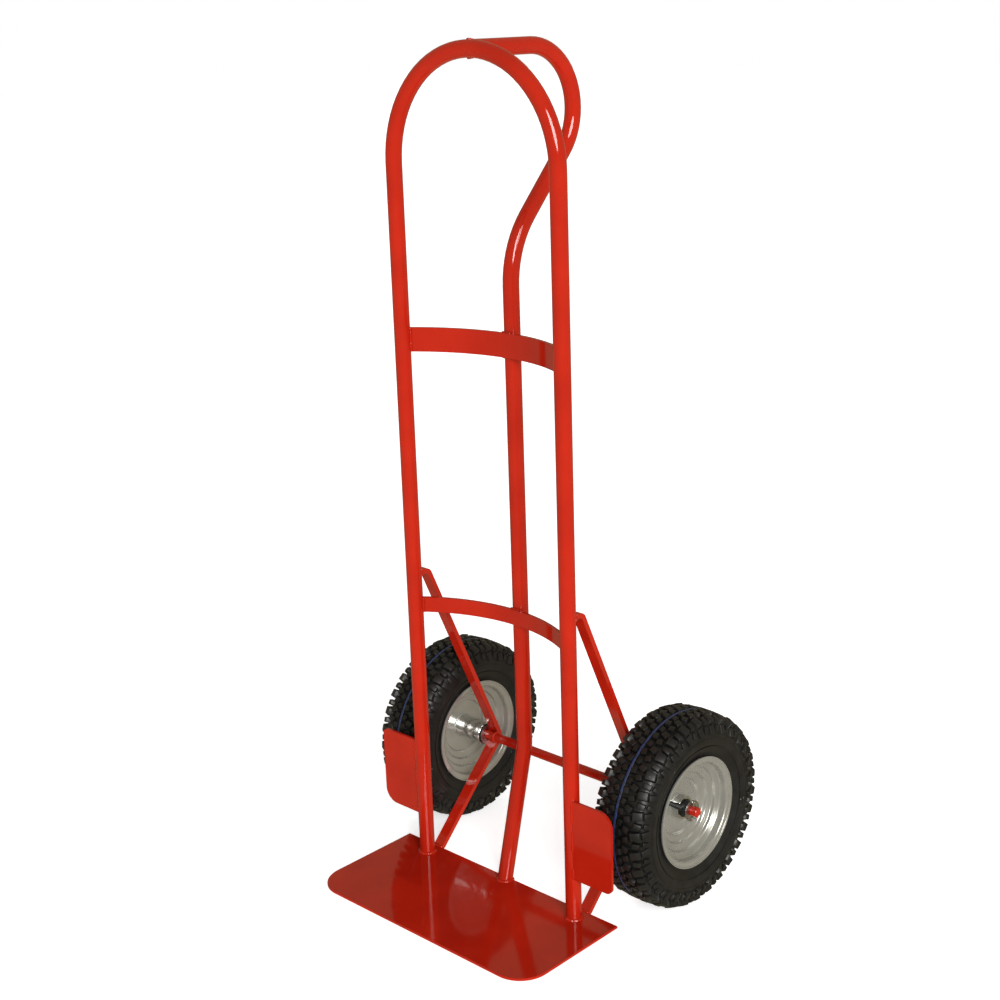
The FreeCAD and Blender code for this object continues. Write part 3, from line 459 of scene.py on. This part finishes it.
def makeTyre():
    right = tyre["outside"] + tyre["inside"]
    left = [(-across, up, rounding) for across, up, rounding in reversed(right)]
    carcass = drawSection("tyreCarcass", right + left)
    spinRound(carcass, tyre["steps"])
    ridges = []
    for radius in tyre["ridgeRadii"]:
        for side in (-1, 1):
            bpy.ops.mesh.primitive_torus_add(major_radius=radius * mm, minor_radius=tyre["ridgeMm"] * mm,
                                             major_segments=tyre["steps"], minor_segments=8,
                                             rotation=(0, math.pi / 2, 0))
            ridge = bpy.context.object
            bpy.ops.object.transform_apply(rotation=True)
            ridges.append((ridge, radius, side))
    blocks = []
    for lug in tyre["lugs"]:
        across, radius, tilt, share, wide, around, tall, twist = lug
        blocks.append(treadLug(*lug))
        blocks.append(treadLug(-across, radius, -tilt, share + 0.5, wide, around, tall, -twist))
    pitch = joinAll(blocks, "treadPitch")
    ring = [pitch]
    for index in range(1, tyre["pitches"]):
        another = copyOf(pitch)
        settle(another, (index * turn / tyre["pitches"], 0, 0))
        ring.append(another)
    tread = joinAll(ring, "tread")
    for ridge, radius, side in ridges:
        # lies the ridge on the sidewall at its own radius
        wall = max(abs(point.co.x) for point in carcass.data.vertices
                   if abs(math.hypot(point.co.y, point.co.z) - radius * mm) < tyre["ridgeSearchMm"] * mm)
        settle(ridge, place=(side * (wall - tyre["ridgeSunkMm"] * mm), 0, 0))
    bands = joinAll([ridge for ridge, radius, side in ridges], "sidewallRidges")
    for extra in (tread, bands):
        applyModifier(carcass, "BOOLEAN", operation="UNION", solver="MANIFOLD", object=extra)
        bpy.data.objects.remove(extra)
    return carcass


def placeTyres():
    first = makeTyre()
    second = copyOf(first)
    for side, piece in (("left", first), ("right", second)):
        node = side + "_tyre"
        piece.name = side + "KnobblyTyre"
        settle(piece, place=middle(node))
        tidyMesh(piece, 30)
        piece.data.materials.clear()
        piece.data.materials.append(finishes["tyreRubber"])
        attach(piece, side + "_wheel")
        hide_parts(node)
        print(piece.name, "has", len(piece.data.polygons), "faces")


placeTyres()


weld = {
    "stepShare": 0.62,
    "unevenness": 0.13,
    "voxelShare": 0.2,
    "smoothPasses": 3,
    "toeBeadMm": 3.4,
    "frameBeadMm": 2.8,
    "smallBeadMm": 2.0,
    "hubBeadMm": 1.8,
    "wobble": (2.4, 0.7),
    "crownPoints": 48,
    "braceUnderMm": 8,
    "footDropMm": 0.4,
    "footGapMm": 0.6,
    # each face of a strap's end: across and behind the rails' middle plane, mm
    "strapFaces": {"Rear": (157.2, 12.0), "Front": (153.8, 7.0)},
    "strapInsetMm": 2,
    "strapCentreMm": 7,
    # shares of the guard's height
    "guardTacks": ((0.02, 0.13), (0.38, 0.60), (0.74, 0.97)),
    # each face of the hub's flange, beyond the wheel's middle plane, mm
    "hubFaces": {"Inner": -2.4, "Outer": 2.4},
}


def arcPath(centre, across, up, start, end, count=48):
    # points on a circle or ellipse: across and up are its half axes, the angles are in degrees
    points = []
    for index in range(count + 1):
        angle = math.radians(start + (end - start) * index / count)
        points.append(Vector(centre) + Vector(across) * math.cos(angle) + Vector(up) * math.sin(angle))
    return points


def linePath(start, end):
    return [Vector(start), Vector(end)]


def spaced(path, gap):
    # even steps along a path
    spots, left = [path[0]], gap
    for start, end in zip(path, path[1:]):
        run = (end - start).length
        done = left
        while done <= run:
            spots.append(start.lerp(end, done / run))
            done += gap
        left = done - run
    return spots


def weldBead(name, path, radiusMm, body="frame", finish="redEnamel"):
    # one run of weld: overlapping puddles, melted together and painted over
    bpy.ops.mesh.primitive_uv_sphere_add(segments=12, ring_count=8, radius=radiusMm * mm)
    puddle = bpy.context.object
    puddles = []
    for index, spot in enumerate(spaced(path, weld["stepShare"] * radiusMm * mm)):
        quick, slow = weld["wobble"]
        size = 1 + weld["unevenness"] * math.sin(index * quick) * math.cos(index * slow)
        another = copyOf(puddle)
        another.scale = (size, size, size)
        another.location = spot
        puddles.append(another)
    bpy.data.objects.remove(puddle)
    bead = joinAll(puddles, name)
    bpy.ops.object.transform_apply(location=True, rotation=True, scale=True)
    applyModifier(bead, "REMESH", mode="VOXEL", voxel_size=weld["voxelShare"] * radiusMm * mm)
    applyModifier(bead, "SMOOTH", factor=0.5, iterations=weld["smoothPasses"])
    tidyMesh(bead, 60)
    bead.data.materials.clear()
    bead.data.materials.append(finishes[finish])
    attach(bead, body)
    return bead


def bothSides(name, path, radiusMm):
    # the same run on the left and the right of the truck
    sides = {"right": path, "left": [Vector((-spot.x, spot.y, spot.z)) for spot in path]}
    for side, run in sides.items():
        weldBead(side + name, run, radiusMm)


def makeWelds():
    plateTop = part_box("toe_plate")[1].z
    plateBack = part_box("toe_plate")[1].y
    hoopLow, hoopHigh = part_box("main_hoop")
    tubeR = hoopHigh.y
    railX = hoopHigh.x - tubeR
    crownZ = hoopHigh.z - tubeR
    foot = Vector((railX, 0, plateTop))
    toe, bead, small = (weld[name] for name in ("toeBeadMm", "frameBeadMm", "smallBeadMm"))
    bothSides("RailFootWeld", arcPath(foot, (tubeR, 0, 0), (0, tubeR, 0), 0, 360), toe)
    # the centre tube leans, so its foot is an ellipse that reaches past the plate's back edge
    footSpots = [point.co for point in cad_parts["centre_tube"].data.vertices
                 if point.co.z < plateTop + 0.3 * mm]
    nearY, farY = min(spot.y for spot in footSpots), max(spot.y for spot in footSpots)
    ovalY = (farY - nearY) / 2
    centreFoot = Vector((0, nearY + ovalY, plateTop))
    reach = math.degrees(math.asin((plateBack - centreFoot.y) / ovalY))
    weldBead("centreTubeFootWeld",
             arcPath(centreFoot, (tubeR, 0, 0), (0, ovalY, 0), -180 - reach, reach), toe)
    # coped end of the centre tube on the crown of the hoop
    crown = []
    for index in range(weld["crownPoints"] + 1):
        angle = turn * index / weld["crownPoints"]
        crown.append(Vector((tubeR * math.cos(angle), tubeR * abs(math.cos(angle)),
                             crownZ + tubeR * math.sin(angle))))
    weldBead("crownWeld", crown, small)
    braceLow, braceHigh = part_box("right_brace")
    halfWide = (braceHigh.x - braceLow.x) / 2
    lean = math.degrees(math.asin(halfWide / tubeR))
    for place, height in (("Top", braceHigh.z), ("Under", braceHigh.z - weld["braceUnderMm"] * mm)):
        bothSides("Brace" + place + "Weld",
                  arcPath((railX, 0, height), (tubeR, 0, 0), (0, tubeR, 0), 90 - lean, 90 + lean), small)
    footY = plateBack + weld["footGapMm"] * mm
    footZ = plateTop - weld["footDropMm"] * mm
    bothSides("BraceFootWeld",
              linePath((braceLow.x + mm, footY, footZ), (braceHigh.x - mm, footY, footZ)), bead)
    axle = middle("axle")
    axleR = (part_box("axle")[1].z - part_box("axle")[0].z) / 2
    bothSides("AxleWeld", arcPath((braceLow.x, axle.y, axle.z), (0, axleR, 0), (0, 0, axleR), 0, 360), bead)
    inset = weld["strapInsetMm"] * mm
    halfRun = weld["strapCentreMm"] * mm
    for name, node in (("UpperStrap", "upper_strap"), ("LowerStrap", "lower_strap")):
        low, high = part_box(node)
        for face, (across, back) in weld["strapFaces"].items():
            lowEnd = (across * mm, back * mm, low.z + inset)
            highEnd = (across * mm, back * mm, high.z - inset)
            bothSides(name + face + "Weld", linePath(lowEnd, highEnd), small)
        for edge, height in (("Top", high.z), ("Bottom", low.z)):
            path = linePath((-halfRun, high.y - mm, height), (halfRun, high.y - mm, height))
            weldBead(node.split("_")[0] + "StrapCentre" + edge + "Weld", path, small)
    guardLow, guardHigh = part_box("right_guard")
    tall = guardHigh.z - guardLow.z
    for index, (start, end) in enumerate(weld["guardTacks"]):
        for face, edge in (("Front", guardLow.y), ("Rear", guardHigh.y)):
            across = railX + math.sqrt(tubeR ** 2 - edge ** 2)
            lowEnd = (across, edge, guardLow.z + start * tall)
            highEnd = (across, edge, guardLow.z + end * tall)
            bothSides("Guard" + face + "Tack" + str(index + 1), linePath(lowEnd, highEnd), small)
    for side in ("left", "right"):
        hub = middle(side + "_tyre")
        hubR = (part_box(side + "_hub")[1].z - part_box(side + "_hub")[0].z) / 2
        for face, outward in weld["hubFaces"].items():
            across = hub.x + outward * mm * (1 if side == "right" else -1)
            ring = arcPath((across, hub.y, hub.z), (0, hubR, 0), (0, 0, hubR), 0, 360)
            weldBead(side + face + "HubWeld", ring, weld["hubBeadMm"], side + "_wheel",
                     "rimSilver")


makeWelds()
print("welds laid")


studio = {
    "floorMetres": 60,
    "floorPatchMm": 700,
    "floorPale": "F7F7F6",
    "floorCloud": "F3F3F2",
    "floorGlow": 0.6,
    "seenWhite": (1, 1, 1, 1),
    "softLight": (0.17, 0.17, 0.17, 1),
    "mirroredRoom": (0.30, 0.26, 0.17, 1),
    # strength, width of the source in degrees, where the light comes from, whether gloss mirrors it
    "lights": {
        "keyLight": (3.1, 30, (0.82, -0.57, 0.46), True),
        "backFill": (1.1, 60, (-0.35, 0.80, 0.50), False),
    },
}


def makeFloor():
    bpy.ops.mesh.primitive_plane_add(size=studio["floorMetres"], location=(0, 0, 0))
    floor = bpy.context.object
    floor.name = "studioFloor"
    material = newMaterial("paleStudioFloor")
    place = addNode(material, "ShaderNodeTexCoord").outputs["Object"]
    clouds = addNode(material, "ShaderNodeTexNoise",
                     {"Scale": perMetre(studio["floorPatchMm"]), "Detail": 3}, {"Vector": place})
    colour = addNode(material, "ShaderNodeMix",
                     {6: linear(studio["floorCloud"]), 7: linear(studio["floorPale"])},
                     {0: clouds.outputs["Fac"]}, data_type="RGBA")
    closeMaterial(material, {"Roughness": 0.8, "Emission Color": studio["seenWhite"],
                             "Emission Strength": studio["floorGlow"]}, {"Base Color": colour.outputs[2]})
    floor.data.materials.append(material)
    # glossy paint mirrors the room and not the floor
    floor.visible_glossy = False


def makeWorld():
    # white where the camera looks past the floor, soft light all round, a dim warm room in reflections
    world = bpy.data.worlds.new("studioWorld")
    bpy.context.scene.world = world
    world.use_nodes = True
    world.node_tree.nodes.clear()
    rays = addNode(world, "ShaderNodeLightPath")
    white, soft, room = (addNode(world, "ShaderNodeBackground", {"Color": studio[name]}).outputs[0]
                         for name in ("seenWhite", "softLight", "mirroredRoom"))
    mirrored = addNode(world, "ShaderNodeMixShader",
                       links={0: rays.outputs["Is Glossy Ray"], 1: soft, 2: room})
    seen = addNode(world, "ShaderNodeMixShader",
                   links={0: rays.outputs["Is Camera Ray"], 1: mirrored.outputs[0], 2: white})
    addNode(world, "ShaderNodeOutputWorld", links={"Surface": seen.outputs[0]})


def makeLights():
    for name, (strength, width, source, mirrored) in studio["lights"].items():
        light = bpy.data.lights.new(name, "SUN")
        light.energy = strength
        light.angle = math.radians(width)
        lamp = bpy.data.objects.new(name, light)
        bpy.context.scene.collection.objects.link(lamp)
        lamp.rotation_euler = Vector(source).to_track_quat("Z", "Y").to_euler()
        lamp.visible_glossy = mirrored


shot = {
    "azimuth": 43.907,
    "elevation": 16.619,
    "roll": -1.897,
    "distance": 2.46958,
    "aim": (0.033656, 0, 0.66613),
    "lens": 58.80,
    "sensor": 36,
}


def makeCamera():
    around, over, tip = (math.radians(shot[name]) for name in ("azimuth", "elevation", "roll"))
    back = Vector((math.sin(around) * math.cos(over), -math.cos(around) * math.cos(over), math.sin(over)))
    level = Vector((math.cos(around), math.sin(around), 0))
    upright = back.cross(level)
    right = level * math.cos(tip) + upright * math.sin(tip)
    up = upright * math.cos(tip) - level * math.sin(tip)
    lens = bpy.data.cameras.new("camera")
    lens.sensor_width = shot["sensor"]
    lens.lens = shot["lens"]
    camera = bpy.data.objects.new("camera", lens)
    bpy.context.scene.collection.objects.link(camera)
    camera.matrix_world = Matrix.Translation(Vector(shot["aim"]) + back * shot["distance"]) @ Matrix(
        (right, up, back)).transposed().to_4x4()
    bpy.context.scene.camera = camera


makeFloor()
makeWorld()
makeLights()
makeCamera()
bpy.context.scene.view_settings.view_transform = "Standard"
print("studio ready")
